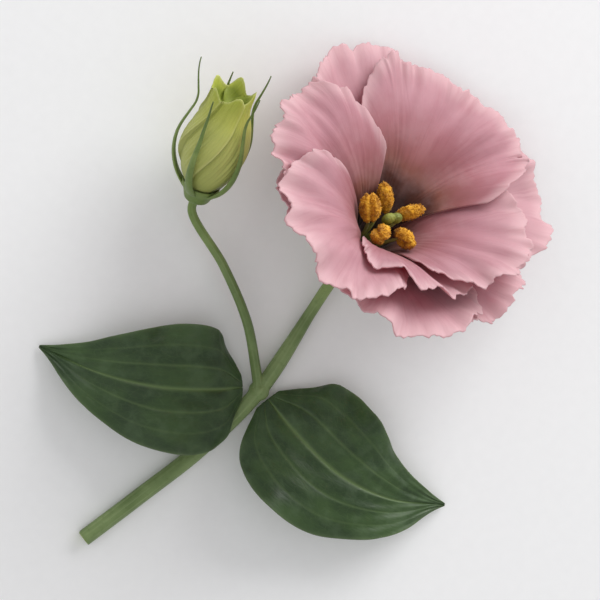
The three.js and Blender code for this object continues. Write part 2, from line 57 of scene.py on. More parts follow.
OUTER_WHORL = dict(
    foot=4.2, claw=1.5, waist=3.4, reach=40, ruffle=1.9, phase=0.6,
    closed=[12, 34, 44, 50, 56, 64], open=[16, 52, 66, 80, 92, 108],
)
INNER_WHORL = dict(
    foot=3.1, claw=1.05, waist=2.1, reach=38, ruffle=1.7, phase=2.4,
    closed=[4, 16, 27, 35, 42, 50], open=[6, 32, 53, 67, 77, 90],
)
# A petal: bearing, length, width, how far it opens (0 to 1), which of its edges lie inside (-1) or outside
# (+1) their neighbours, between which degrees its level turns, its sweep sideways, the depth of its valley.
# cut: where the rim ends, in mm, on a petal whose solid runs to the end of the funnel.
# tuck: the stretch of the rim, in u, that stays back by so many mm behind the petal that covers it.
OUTER_WHORL["petals"] = [
    dict(
        bearing=49, length=47, width=43, open=0.6, edges=(1, -1), turn=(-2, 14), sweep=2, valley=0.5,
        tuck=(0.04, 0.7, 1.8),
    ),
    dict(
        bearing=121, length=46, width=42, open=0.38, edges=(1, 1), sweep=-4, valley=0.4,
        tuck=(-0.7, -0.1, 1.8),
    ),
    dict(bearing=196, length=31, width=37, open=0.61, edges=(-1, 1), turn=(-14, 2), sweep=2, valley=0.6),
    dict(bearing=292, length=35, width=49, open=0.58, edges=(-1, -1), sweep=-3, valley=0.3),
    dict(bearing=352, length=35, width=37, open=0.54, edges=(1, -1), turn=(-25, 16), sweep=4, valley=0.4),
]
INNER_WHORL["petals"] = [
    dict(
        bearing=85, length=57, width=45, open=0.7, edges=(-1, 1), turn=(4, 26), sweep=0, valley=0.9,
        cut=44.9,
    ),
    dict(bearing=173, length=44, width=34, open=0.72, edges=(-1, 1), turn=(-12, 4), sweep=7, valley=0.5),
    dict(bearing=231, length=44.5, width=44, open=0.76, edges=(-1, 1), turn=(-2, 10), sweep=6, valley=0.4),
    dict(bearing=301, length=33, width=36, open=0.5, edges=(-1, 1), turn=(-6, 6), sweep=4, valley=0.5),
    dict(bearing=1, length=39, width=38, open=0.48, edges=(-1, 1), turn=(-2, 28), sweep=4, valley=0.4),
]


# ---- Small helpers on arrays ----
def ramp(low, high, value):
    w = np.clip((value - low) / (high - low), 0, 1)
    return w * w * (3 - 2 * w)


def mix(a, b, w):
    return a + (b - a) * w


def unit(v):
    return v / np.maximum(np.linalg.norm(v, axis=-1, keepdims=True), 1e-12)


def circle(sides):
    """The angles of points spaced evenly round a circle."""
    return TAU * np.arange(sides) / sides


def bumps(points, scale, seed=0.0):
    """Smooth noise, about -1 to 1, at each point."""
    flat = points.reshape(-1, 3) * scale + seed
    return np.array([noise.noise(Vector(p)) for p in flat]).reshape(points.shape[:-1])


NUDGE = 1e-4  # the half step that a curve's direction is measured over


class Curve:
    """A centripetal Catmull-Rom curve, the same one that the solids follow."""

    def __init__(self, points):
        p = np.array(points, float)
        p = np.vstack([2 * p[0] - p[1], p, 2 * p[-1] - p[-2]])
        self.p = p
        self.count = len(points)

    def at(self, t):
        t = np.asarray(t, float)
        place = np.clip(t, 0, 1) * (self.count - 1)
        cell = np.minimum(np.floor(place).astype(int), self.count - 2)
        w = (place - cell)[..., None]
        x0, x1, x2, x3 = (self.p[cell + k] for k in range(4))
        d0, d1, d2 = (
            np.maximum(np.sum((a - b) ** 2, axis=-1, keepdims=True) ** 0.25, 1e-4)
            for a, b in ((x0, x1), (x1, x2), (x2, x3))
        )
        m1 = d1 * ((x1 - x0) / d0 - (x2 - x0) / (d0 + d1) + (x2 - x1) / d1)
        m2 = d1 * ((x2 - x1) / d1 - (x3 - x1) / (d1 + d2) + (x3 - x2) / d2)
        return (
            x1 + m1 * w
            + (3 * (x2 - x1) - 2 * m1 - m2) * w**2
            + (2 * (x1 - x2) + m1 + m2) * w**3
        )

    def along(self, t):
        t = np.asarray(t, float)
        return unit(self.at(np.minimum(t + NUDGE, 1)) - self.at(np.maximum(t - NUDGE, 0)))


OUTLINE_SAMPLES = 2001


def outline_at(outline, share):
    """Half width, as a share of the greatest, at a share of the length."""
    t = np.linspace(0, 1, OUTLINE_SAMPLES)
    p = Curve([(x, y, 0) for x, y in outline]).at(t)
    return np.interp(share, p[:, 0], p[:, 1])


def stand(points, foot, axis):
    """Turns points built round +Z from a foot onto an axis that leaves a foot point."""
    z = unit(np.array(axis, float))
    level = unit(np.array([z[1], -z[0], 0]))
    third = np.cross(z, level)
    return points @ np.array([level, third, z]) + np.array(foot, float)


def turned_about(points, axis, angle):
    return points @ np.array(Matrix.Rotation(angle, 3, axis)).T


BLOOM_AXIS = (0, math.cos(BLOOM_TILT), math.sin(BLOOM_TILT))


def in_bloom(points):
    return stand(points, BLOOM_FOOT, BLOOM_AXIS)


def around(bearing, r, z):
    bearing, r, z = np.broadcast_arrays(bearing, r, z)
    return np.stack([r * np.cos(bearing), r * np.sin(bearing), z], axis=-1)


def add_object(name, data):
    thing = bpy.data.objects.new(name, data)
    bpy.context.scene.collection.objects.link(thing)
    return thing


# ---- Camera: it looks down into the bloom as the photo does ----
FRAME_WIDTH = 0.128
SENSOR_WIDTH = 36
NEAR_END, FAR_END = 0.01, 20
CAMERA_DISTANCE = 0.9
CAMERA_TARGET = Vector((-0.0035, 0.0055, 0.012))
VIEW_LEAN = 44 * DEG
VIEW_BEARING = 249 * DEG
VIEW_UP = 107 * DEG


def make_camera():
    axis = Vector(BLOOM_AXIS)
    level = Vector((1, 0, 0))
    third = axis.cross(level)
    side = level * math.cos(VIEW_BEARING) + third * math.sin(VIEW_BEARING)
    back = axis * math.cos(VIEW_LEAN) + side * math.sin(VIEW_LEAN)
    up = level * math.cos(VIEW_UP) + third * math.sin(VIEW_UP)
    up = (up - back * up.dot(back)).normalized()
    data = bpy.data.cameras.new("camera")
    data.sensor_width = SENSOR_WIDTH
    data.lens = SENSOR_WIDTH * CAMERA_DISTANCE / FRAME_WIDTH
    data.clip_start = NEAR_END
    data.clip_end = FAR_END
    camera = add_object("camera", data)
    camera.rotation_mode = "QUATERNION"
    camera.rotation_quaternion = Matrix((up.cross(back), up, back)).transposed().to_quaternion()
    camera.location = CAMERA_TARGET + back * CAMERA_DISTANCE
    bpy.context.scene.camera = camera


make_camera()


# ---- Meshes ----
def make_mesh(name, points, faces):
    """A smooth mesh from points and lists of faces."""
    mesh = bpy.data.meshes.new(name)
    corners = [face for group in faces for face in group.tolist()]
    mesh.from_pydata(points.reshape(-1, 3).tolist(), [], corners, shade_flat=False)
    return mesh


def make_piece(node, points, faces, material, attributes):
    """The mesh piece that takes a node's place: points in millimetres, lists of faces, point attributes."""
    name = node + "_skin"
    mesh = make_mesh(name, (points + CENTRE_SHIFT) * MM, faces)
    mesh.validate()
    for key, value in attributes.items():
        value = np.asarray(value, np.float32)
        kind, part = ("FLOAT_VECTOR", "vector") if value.ndim == 2 else ("FLOAT", "value")
        layer = mesh.attributes.new(key, kind, "POINT")
        layer.data.foreach_set(part, value.reshape(-1))
    mesh.materials.append(material)
    piece = add_object(name, mesh)
    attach(piece, "root")
    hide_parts(node)


def grid_faces(rows, columns, closed=False):
    """Quads of a grid of rows x columns points, closed where the last column meets the first."""
    j, i = np.meshgrid(np.arange(rows - 1), np.arange(columns if closed else columns - 1), indexing="ij")
    a = j * columns + i
    b = j * columns + (i + 1) % columns
    return np.stack([a, b, b + columns, a + columns], axis=-1).reshape(-1, 4)


def merge(parts):
    """Joins (points, faces, value) parts into one. A value is one number, or one for each point."""
    points, faces, values, start = [], [], [], 0
    for p, fs, value in parts:
        p = p.reshape(-1, 3)
        points.append(p)
        faces += [f + start for f in fs]
        values.append(np.reshape(value, -1) + np.zeros(len(p)))
        start += len(p)
    return np.concatenate(points), faces, np.concatenate(values)


PROBE = 1e-3  # the half step, in u and t, that a blade's slope is measured over


def blade(middle, u, t, thickness, offset=None):
    """A thin blade: both faces of a grid of middle points, closed round its rim.
    Gives points, faces, and for each point its u, t and which face it is on (1 or 0)."""
    U, T = np.meshgrid(u, t)
    centre = middle(U, T)
    along = middle(U, np.minimum(T + PROBE, 1)) - middle(U, np.maximum(T - PROBE, 0))
    across = middle(np.minimum(U + PROBE, 1), T) - middle(np.maximum(U - PROBE, -1), T)
    normal = unit(np.cross(across, along))
    half = normal * thickness(U, T)[..., None] / 2
    if offset is not None:
        centre = centre + normal * offset(U, T)[..., None]
    points = np.concatenate([(centre + half).reshape(-1, 3), (centre - half).reshape(-1, 3)])
    rows, columns = U.shape
    shift = rows * columns
    top = grid_faces(rows, columns)
    under = top[:, ::-1] + shift
    at = np.arange(shift).reshape(rows, columns)
    rim = np.concatenate([at[0, :-1], at[:-1, -1], at[-1, :0:-1], at[:0:-1, 0]])
    nxt = np.roll(rim, -1)
    edge = np.stack([rim, rim + shift, nxt + shift, nxt], axis=-1)
    u_of, t_of = np.tile(U.reshape(-1), 2), np.tile(T.reshape(-1), 2)
    return points, [top, under, edge], u_of, t_of, np.repeat([1.0, 0.0], shift)


def rings(points):
    """A solid through rings of points (steps x sides x 3), capped by a fan at both ends."""
    steps, sides = points.shape[:2]
    count = steps * sides
    ring = np.arange(sides)
    nxt = np.roll(ring, -1)
    first = np.stack([nxt, ring, np.full(sides, count)], axis=-1)
    last = np.stack([ring, nxt, np.full(sides, count + 1)], axis=-1)
    last[:, :2] += count - sides
    ends = np.stack([points[0].mean(0), points[-1].mean(0)])
    return np.concatenate([points.reshape(-1, 3), ends]), [grid_faces(steps, sides, True), first, last]


def capped(values, first, last):
    """One value for each point of a solid through rings: the rings' own, then its two end points'."""
    return np.concatenate([values.reshape(-1), [first, last]])


def tube(path, steps, sides, radius, up=(0, 0, 1)):
    """A solid swept along a curve, with closed ends. radius(turn, t) gives its section."""
    t = np.linspace(0, 1, steps + 1)
    tangent = path.along(t)
    side = unit(np.cross(tangent, np.array(up, float)))
    lift = np.cross(side, tangent)
    turn = circle(sides) + math.pi / sides - math.pi / 2
    R = radius(turn[None, :], t[:, None]) + 0 * turn
    points = path.at(t)[:, None] + side[:, None] * (R * np.cos(turn))[..., None]
    return rings(points + lift[:, None] * (R * np.sin(turn))[..., None])


LEAST_RADIUS = 0.01


def spun(corners, steps, sides):
    """Rings of a surface of revolution round +Z, through (radius, height) corners."""
    p = Curve([(r, z, 0) for r, z in corners]).at(np.linspace(0, 1, steps))
    return around(circle(sides), np.maximum(p[:, 0:1], LEAST_RADIUS), p[:, 1:2])


def ball(rows, sides, pole):
    """Rings of a unit ball from bottom to top, and each point's angle up from the bottom and round."""
    V, A = np.meshgrid(np.linspace(pole, math.pi - pole, rows), circle(sides), indexing="ij")
    return around(A, np.sin(V), -np.cos(V)), V, A


def walled(grid):
    """The faces of rings that run up one wall and come back down the other, as a cup's do."""
    rows, sides = grid.shape[:2]
    return [grid_faces(rows + 1, sides, True) % (rows * sides)]


# ---- Materials ----
def srgb(r, g, b):
    """A colour given as 0 to 255 display values."""
    shares = (c / 255 for c in (r, g, b))
    return tuple(c / 12.92 if c <= 10 / 255 else ((c + 0.055) / 1.055) ** 2.4 for c in shares) + (1,)


class Nodes:
    """Short calls that add and wire shader nodes. Each gives the output that the next one takes."""

    def __init__(self, name):
        self.material = bpy.data.materials.new(name)
        self.material.use_nodes = True
        self.tree = self.material.node_tree
        self.tree.nodes.clear()
        self.where = self.add("ShaderNodeTexCoord", {}, "Object")

    def add(self, kind, inputs, output=0, **settings):
        """Adds a node with its settings, and fills its inputs with values or with other nodes' outputs."""
        node = self.tree.nodes.new(kind)
        for key, value in settings.items():
            setattr(node, key, value)
        for key, value in inputs.items():
            if isinstance(value, bpy.types.NodeSocket):
                self.tree.links.new(value, node.inputs[key])
            else:
                node.inputs[key].default_value = value
        return node.outputs[output] if node.outputs else None

    def attribute(self, name, output="Fac"):
        return self.add("ShaderNodeAttribute", {}, output, attribute_name=name)

    def math(self, kind, a, b):
        return self.add("ShaderNodeMath", {0: a, 1: b}, operation=kind)

    def span(self, value, low, high, to_low=0.0, to_high=1.0):
        limits = {"From Min": low, "From Max": high, "To Min": to_low, "To Max": to_high}
        return self.add("ShaderNodeMapRange", {"Value": value, **limits}, interpolation_type="SMOOTHSTEP")

    def blend(self, factor, a, b, kind="MIX"):
        return self.add("ShaderNodeMix", {0: factor, 6: a, 7: b}, 2, data_type="RGBA", blend_type=kind)

    def tint(self, colour, other, amount, value, low, high):
        """Takes a colour towards another one, by an amount that grows as a value goes from low to high."""
        return self.blend(self.math("MULTIPLY", self.span(value, low, high), amount), colour, other)

    def ramp(self, factor, stops):
        """Colours from (place, display values) stops."""
        colour = self.add("ShaderNodeValToRGB", {0: factor})
        band = colour.node.color_ramp
        while len(band.elements) < len(stops):
            band.elements.new(0.5)
        for element, (place, shade) in zip(band.elements, stops):
            element.position = place
            element.color = srgb(*shade)
        return colour

    def scaled(self, vector, scale, move=(0, 0, 0)):
        return self.add("ShaderNodeMapping", {"Vector": vector, "Scale": scale, "Location": move})

    def noise(self, vector, scale, detail=3.0, rough=0.55):
        inputs = {"Vector": vector, "Scale": scale, "Detail": detail, "Roughness": rough}
        return self.add("ShaderNodeTexNoise", inputs, "Fac")

    def cells(self, vector, scale, feature="F1"):
        inputs = {"Vector": vector, "Scale": scale}
        return self.add("ShaderNodeTexVoronoi", inputs, "Distance", feature=feature)

    def bump(self, height, strength, distance, after=None):
        """The normal that a height makes, as an input for a shader or for another bump."""
        inputs = {"Height": height, "Strength": strength, "Distance": distance, **(after or {})}
        return {"Normal": self.add("ShaderNodeBump", inputs)}

    def shader(self, colour, rough, shine, sheen=0.0, normal=None, through=None, share=0.0):
        """Finishes the material. A share of the light passes through it, in a colour of its own."""
        lit = normal or {}
        inputs = {"Base Color": colour, "Roughness": rough, "Specular IOR Level": shine, **lit}
        surface = self.add("ShaderNodeBsdfPrincipled", {**inputs, "Sheen Weight": sheen})
        if share:
            clear = self.add("ShaderNodeBsdfTranslucent", {"Color": through, **lit})
            surface = self.add("ShaderNodeMixShader", {0: share, 1: surface, 2: clear})
        self.add("ShaderNodeOutputMaterial", {"Surface": surface})
        return self.material


COLOUR_SPAN = 45  # the mm of a petal, from its foot, that its colours and THROAT_AND_SHADE_REACH are shares of
# how much farther out than on petal_outer_2 the throat's deeper colour reaches: painted shade, farther on
# petals painted as lying in shade, such as petal_inner_1, and less on petals kept pale, such as
# petal_outer_4
THROAT_AND_SHADE_REACH = dict(
    petal_inner_1=0.14, petal_inner_2=0.04, petal_inner_3=-0.06, petal_inner_4=-0.08, petal_inner_5=-0.1,
    petal_outer_1=-0.1, petal_outer_2=0.0, petal_outer_3=-0.14, petal_outer_4=-0.2, petal_outer_5=-0.14,
)
# the inner face's colours from the claw outwards: the darkest stops near the claw are partly the flower's
# dark eye, partly painted shade of the deep throat
FACE_COLOURS_WITH_THROAT_SHADE = [
    (0.0, (44, 20, 14)), (0.14, (58, 28, 20)), (0.22, (92, 48, 36)), (0.29, (148, 92, 80)),
    (0.37, (166, 104, 104)), (0.5, (186, 124, 132)), (0.68, (206, 153, 164)), (0.95, (217, 176, 184)),
]
BACK_COLOURS = [
    (0.0, (150, 158, 96)), (0.14, (188, 178, 132)), (0.3, (208, 168, 158)),
    (0.5, (212, 154, 164)), (0.8, (220, 168, 178)), (1.0, (228, 188, 194)),
]
WARP = (0.035, 0, 0)


def petal_material(petal, seed):
    n = Nodes(petal + "_tissue")
    fan = n.attribute("fan", "Vector")
    # veins fan out from the claw: noise drawn out along the petal
    warp = n.noise(n.scaled(fan, (9, 5, 1), (seed, 0, 0)), 1.0)
    warped = n.add("ShaderNodeVectorMath", {0: warp, 1: WARP, 2: fan}, operation="MULTIPLY_ADD")
    veins = n.noise(n.scaled(warped, (62, 2.6, 1), (seed * 3, 0, 0)), 1.0, 4, 0.62)
    fine = n.noise(n.scaled(warped, (150, 7, 1), (seed, 3, 0)), 1.0, 3, 0.6)
    mottle = n.noise(n.where, 150, 4)
    cloud = n.noise(n.scaled(fan, (3, 3.5, 1), (seed * 7, 1, 0)), 1.0)
    drift = n.math("MULTIPLY", n.math("SUBTRACT", cloud, 0.5), 0.16)
    place = n.math("ADD", n.attribute("rise"), drift)
    # darker towards the claw: partly the flower's dark eye, partly painted throat shade that reaches
    # farther on petals painted as lying in shade
    inside = n.ramp(n.math("SUBTRACT", place, THROAT_AND_SHADE_REACH[petal]), FACE_COLOURS_WITH_THROAT_SHADE)
    colour = n.blend(n.attribute("face"), inside, n.ramp(place, BACK_COLOURS))
    colour = n.tint(colour, srgb(238, 210, 213), 0.6, n.attribute("edge"), 4.5, 0.0)
    dark = n.blend(0.9, colour, srgb(204, 128, 146), "MULTIPLY")
    colour = n.tint(colour, dark, 0.22, veins, 0.46, 0.74)
    colour = n.tint(colour, dark, 0.1, fine, 0.5, 0.78)
    colour = n.tint(colour, srgb(238, 210, 214), 0.12, mottle, 0.4, 0.7)
    rough = n.span(mottle, 0.3, 0.7, 0.5, 0.68)
    height = n.math("ADD", n.math("MULTIPLY", veins, 0.7), n.math("MULTIPLY", fine, 0.35))
    normal = n.bump(height, 0.3, 0.0003)
    normal = n.bump(n.noise(n.where, 2600, 2), 0.12, 0.0001, normal)
    through = n.blend(0.5, colour, srgb(246, 140, 160), "MULTIPLY")
    return n.shader(colour, rough, shine=0.32, sheen=0.12, normal=normal, through=through, share=0.38)


# ---- The bloom's funnel, the same surfaces as the solids ----
FUNNEL_STEPS = 66
FUNNEL_SPAN = 1.32  # how far the funnel goes on, as a share of the whorl's reach


def profile(whorl, angles):
    """Gives radius, height and wall direction y along a funnel whose wall turns through these angles."""
    cells = len(angles) - 1
    s = FUNNEL_SPAN * np.arange(FUNNEL_STEPS + 1) / FUNNEL_STEPS
    place = np.minimum(s * cells, cells - 1e-9)
    cell = np.floor(place).astype(int)
    past = np.maximum(0, s - 1) * cells
    a = np.array(angles, float)
    angle = (a[cell] + (a[cell + 1] - a[cell]) * (place - cell + past)) * DEG
    step = whorl["reach"] * FUNNEL_SPAN / FUNNEL_STEPS
    r = whorl["foot"] + np.concatenate([[0], np.cumsum(np.sin(angle))[:-1]]) * step
    z = SEAT_GAP + np.concatenate([[0], np.cumsum(np.cos(angle))[:-1]]) * step
    ys = np.arange(FUNNEL_STEPS + 1) * step
    table = (r, z, np.sin(angle), np.cos(angle))
    return lambda y: [np.interp(y, ys, column) for column in table]


for whorl in (OUTER_WHORL, INNER_WHORL):
    whorl["closed_at"] = profile(whorl, whorl["closed"])
    whorl["open_at"] = profile(whorl, whorl["open"])


def opening(whorl, bearing):
    """How far the whorl opens at a bearing: the petals' own openings, blended."""
    near = [np.exp(7 * (np.cos(bearing - petal["bearing"] * DEG) - 1)) for petal in whorl["petals"]]
    return sum(w * petal["open"] for w, petal in zip(near, whorl["petals"])) / sum(near)


def rim_wave(whorl, bearing, y):
    """The waves of the solids, and finer ones that only the dressed petals have."""
    share = y / whorl["reach"]
    drift = 1.2 * np.sin(2 * bearing + whorl["phase"]) + 0.8 * np.sin(3 * bearing - whorl["phase"])
    long = np.sin(9 * bearing + drift)
    short = np.sin(14 * bearing - 1.6 * drift + 0.16 * y)
    coarse = whorl["ruffle"] * ramp(0.42, 1.05, share) * (0.62 * long + 0.5 * short)
    drift2 = 1.5 * np.sin(4 * bearing - 1.3 * whorl["phase"]) + 1.1 * np.sin(7 * bearing + 2)
    fine = 0.5 * np.sin(25 * bearing + drift2 + 0.1 * y) + 0.32 * np.sin(41 * bearing - 1.7 * drift2)
    return coarse + 0.62 * ramp(0.72, 1.15, share) * fine


LAYER_STEP = 1.1  # between the levels of petals that lie over each other, and again as much at the rim


def stack_step(whorl, y):
    return LAYER_STEP * ramp(0.2, 4.3, y) + LAYER_STEP * ramp(0.45 * whorl["reach"], whorl["reach"], y)


TUCK_FADE = 0.14  # in u


def petal_outline(whorl, petal, u, t):
    """Where a point lies in the flat petal, from its side position u (-1 to 1) and its row t (0 to 1)."""
    swing = u * MARGIN_SWING
    seed = petal["bearing"]
    margin_x = petal["width"] / 2 * np.sin(swing) * (1 + 0.07 * np.sin(2 * swing) ** 2)
    crown = np.cos(swing) * (1 + 0.22 * np.sin(swing) ** 2)
    margin_y = petal["length"] * (0.62 + 0.38 * crown)
    if "cut" in petal:
        margin_y = -np.log(np.exp(-margin_y) + np.exp(-petal["cut"]))
    if "tuck" in petal:
        first, last, depth = petal["tuck"]
        inside = ramp(first, first + TUCK_FADE, u) * (1 - ramp(last - TUCK_FADE, last, u))
        margin_y = margin_y - depth * inside
    teeth = 0.014 * np.sin(12 * swing + seed) + 0.012 * np.sin(19 * swing - seed)
    jag = np.abs(np.sin(17 * swing + 2.2 * np.sin(3 * swing + seed))) ** 0.7
    nick = np.exp(-((np.sin(5.5 * swing + 1.9 * seed) / 0.09) ** 2))
    teeth = teeth + t**6 * (
        0.009 * (jag - 0.6)
        + 0.007 * np.sin(47 * swing + seed + 2 * np.sin(9 * swing))
        + 0.005 * np.sin(89 * swing - seed)
        - 0.02 * nick
    )
    rim = t * t * (1 + teeth)
    x = (1 - t) ** 2 * u * whorl["claw"] + 2 * t * (1 - t) * u * whorl["waist"] + rim * margin_x
    y = 2 * t * (1 - t) * 0.46 * margin_y + rim * margin_y
    return x, y


def funnel_point(whorl, bearing, y, out):
    """A point y along the funnel and out from its wall."""
    share = opening(whorl, bearing)
    both = zip(whorl["closed_at"](y), whorl["open_at"](y))
    r, z, sin_wall, cos_wall = (mix(a, b, share) for a, b in both)
    norm = np.hypot(sin_wall, cos_wall)
    return around(bearing, r + out * cos_wall / norm, z - out * sin_wall / norm)


SIDE_CALM = 0.6  # the share of the rim's crimps that the petal's side margins lose


def petal_middle(whorl, petal, u, t):
    x, y = petal_outline(whorl, petal, u, t)
    centre = petal["bearing"] * DEG
    share = opening(whorl, np.array(centre))
    radius = mix(whorl["closed_at"](y)[0], whorl["open_at"](y)[0], share)
    raw = x / radius
    spread = raw / (1 + (raw / WIDEST_ANGLE) ** 4) ** 0.25
    bearing = centre + spread + petal["sweep"] * DEG * (y / petal["length"]) ** 2
    first, last = petal["edges"]
    turn_from, turn_to = petal.get("turn", (0, 1))
    level = 0.5 + 0.5 * mix(first, last, ramp(turn_from * DEG, turn_to * DEG, spread))
    valley = petal["valley"] * np.exp(-((u / 0.3) ** 2)) * ramp(0.1, 0.7, y / petal["length"])
    seed = petal["bearing"]
    swing = u * MARGIN_SWING
    crimp = 0.27 * np.sin(21 * swing + seed + 1.4 * np.sin(4 * swing + seed))
    crimp = crimp + 0.15 * np.sin(37 * swing - 2 * seed + 1.1 * np.sin(6 * swing))
    curl = 0.5 * (0.4 + np.sin(2.3 * swing + seed))
    rim = ramp(0.8, 1.0, t) * (1 - SIDE_CALM * ramp(0.7, 0.9, np.abs(u)))
    rib = 0.035 * np.sin(46 * u + 1.5 * np.sin(5 * u + seed) + 2 * t) * ramp(0.15, 0.5, t)
    out = level * stack_step(whorl, y) + rim_wave(whorl, bearing, y) + valley
    return funnel_point(whorl, bearing, y, out + rim * crimp + rim**2 * curl + rib)


PETAL_COLUMNS = 150
PETAL_ROWS = 76
ROW_BUNCHING = 0.85  # under 1, it draws the rows together towards the rim
PETAL_SKIN = 0.5
PETAL_RIM = 0.26
FLOOR_CLEAR = 0.06
FACE_CLEAR = 0.02


def petal_thickness(u, t):
    return mix(PETAL_SKIN, PETAL_RIM, ramp(0.3, 1.0, t))


def petal_piece(name, whorl, petal, material):
    u = np.linspace(-1, 1, PETAL_COLUMNS + 1)
    t = np.linspace(0, 1, PETAL_ROWS + 1) ** ROW_BUNCHING
    points, faces, u, t, face = blade(partial(petal_middle, whorl, petal), u, t, petal_thickness)
    x, y = petal_outline(whorl, petal, u, t)
    seed = petal["bearing"] * 0.37
    fan = np.stack([u * 0.5, t, np.full(len(x), seed)], axis=-1)
    att = dict(fan=fan, rise=y / COLOUR_SPAN, edge=(1 - t) * np.hypot(x, y), face=face)
    points = in_bloom(points)
    points[:, 2] = np.where(points[:, 2] < FLOOR_CLEAR, FLOOR_CLEAR + FACE_CLEAR * face, points[:, 2])
    make_piece(name, points, faces, material, att)


def make_petals():
    for layer, whorl in (("outer", OUTER_WHORL), ("inner", INNER_WHORL)):
        for k, petal in enumerate(whorl["petals"]):
            name = f"petal_{layer}_{k + 1}"
            petal_piece(name, whorl, petal, petal_material(name, 1.7 * k + len(layer) * 3))


make_petals()


# ---- Calyx ----
SEPAL_THICK = 0.8
SEPAL_BEARINGS = (22, 92, 160, 236, 318)
SEPAL_LENGTHS = (23, 20, 22, 24, 21)
CUP_RIM = 2.2
CUP_SIDES = 80
SEPAL_CLEAR = PETAL_THICK / 2 + SEAT_GAP + 0.2 + SEPAL_THICK / 2


def calyx_point(bearing, y, extra):
    return funnel_point(OUTER_WHORL, bearing, y, stack_step(OUTER_WHORL, y) + SEPAL_CLEAR + extra)


def calyx_cup():
    bearing = circle(CUP_SIDES)
    rim = CUP_RIM + 0.35 * np.cos(5 * (bearing - 0.4))
    half = SEPAL_THICK / 2
    inner_foot = (
        (PEDICEL_RADIUS + 1.0, -RECEPTACLE_DEPTH), (PEDICEL_RADIUS + 2.4, -1.3),
        (RECEPTACLE_RADIUS + 0.5, 0),
    )
    wall = (
        (0.6, -half), (rim * 0.7, -half), (rim, -0.6 * half), (rim + 0.12, 0), (rim, 0.6 * half),
        (rim * 0.7, half), (0.6, half),
    )
    outer_foot = (
        (RECEPTACLE_RADIUS + 1.3, -0.4), (PEDICEL_RADIUS + 3.0, -1.8),
        (PEDICEL_RADIUS + 1.5, -RECEPTACLE_DEPTH - 0.7),
    )
    rows = [around(bearing, r, z) for r, z in inner_foot]
    rows += [calyx_point(bearing, y, out) for y, out in wall]
    rows += [around(bearing, r, z) for r, z in outer_foot]
    grid = np.stack(rows)
    return grid, walled(grid), 0.0


STRIP_SIDES = 14


def keeled_strip(at, steps, half, keel, thick):
    """A strip that tapers to a thread: a rounded keel outside, a shallow groove inside.
    at(t, across, out) gives the point, in millimetres across and out from its middle line.
    keel and thick are heights at the strip's foot and tip."""
    t = np.linspace(0, 1, steps + 1)
    T, A = np.meshgrid(t, circle(STRIP_SIDES), indexing="ij")
    across = np.cos(A) * half(T)
    crown = np.maximum(np.sin(A), 0)
    out = np.where(
        np.sin(A) > 0,
        crown**1.6 * mix(*keel, T) + 0.16 * mix(*thick, T) * crown**0.5,
        -0.5 * mix(*thick, T) * np.abs(np.sin(A)) ** 0.6,
    )
    points, faces = rings(at(T, across, out))
    return points, faces, capped(T, 0, 1)


def calyx_sepal(bearing, length, seed):
    def at(T, across, out):
        y = mix(1.2, length, T)
        lift = 1.6 * ramp(0.45, 1, T) + 0.35 * np.sin(5 * T + seed) * T
        radius = np.linalg.norm(calyx_point(bearing + 0 * y, y, 0)[..., :2], axis=-1)
        drift = 0.4 * np.sin(3.1 * T + seed * 2) * T
        return calyx_point(bearing + (across + drift) / radius, y, lift + out)

    def half(T):
        return mix(1.75, 0.16, T**0.65) * (1 + 0.25 * np.sin(np.pi * np.minimum(1, T * 1.6)))

    return keeled_strip(at, 60, half, (0.75, 0.14), (0.75, 0.22))


def sepal_material():
    n = Nodes("sepal_green")
    cloud = n.noise(n.where, 120, 4)
    speck = n.noise(n.where, 900)
    streak = n.noise(n.scaled(n.where, (1500, 160, 1500)), 1.0)
    pale = srgb(134, 154, 84)
    colour = n.blend(n.span(cloud, 0.35, 0.68), srgb(106, 130, 62), pale)
    colour = n.tint(colour, pale, 0.25, streak, 0.5, 0.72)
    colour = n.blend(n.span(n.attribute("t"), 0.55, 1.0), colour, srgb(96, 116, 58))
    colour = n.tint(colour, srgb(60, 84, 40), 0.18, speck, 0.55, 0.7)
    rough = n.span(cloud, 0.3, 0.7, 0.42, 0.58)
    normal = n.bump(streak, 0.25, 0.0002)
    return n.shader(colour, rough, shine=0.4, sheen=0.08, normal=normal, through=colour, share=0.08)


SEPAL_GREEN = sepal_material()


def make_calyx():
    parts = [calyx_cup()]
    for k, (bearing, length) in enumerate(zip(SEPAL_BEARINGS, SEPAL_LENGTHS)):
        parts.append(calyx_sepal(bearing * DEG, length, k * 1.7))
    points, faces, t = merge(parts)
    make_piece("calyx", in_bloom(points), faces, SEPAL_GREEN, dict(t=t))


make_calyx()


# ---- Stamens and pistil ----
ANTHER = dict(length=7.2, width=5.1, thick=4)
ANTHER_SINK = 0.26  # how far the anther's skin is drawn in, which keeps it clear of its neighbours
ANTHER_ROWS, ANTHER_SIDES = 46, 56
GRAIN_COUNT = 260
GRAIN_RADII = (0.09, 0.2)
GRAIN_BANDS = (0.7, 1.57, 2.44)
STAMENS = [
    dict(bearing=52, reach=5.2, height=13.4, lean=24, twist=20),
    dict(bearing=122, reach=5.1, height=13.0, lean=40, twist=-20),
    dict(bearing=190, reach=5.3, height=13.7, lean=32, twist=30),
    dict(bearing=258, reach=4.92, height=12.95, lean=53, twist=-12),
    dict(bearing=324, reach=4.8, height=13.6, lean=38, twist=22),
]
FILAMENT_RING = 2.2
FILAMENT_RADIUS = 0.38


def grain(radius, turn):
    """A tiny round grain: three rings of six points."""
    angle = circle(6) + turn
    band = [around(angle, radius * math.sin(a), radius * math.cos(a)) for a in GRAIN_BANDS]
    return np.stack(band)[::-1]


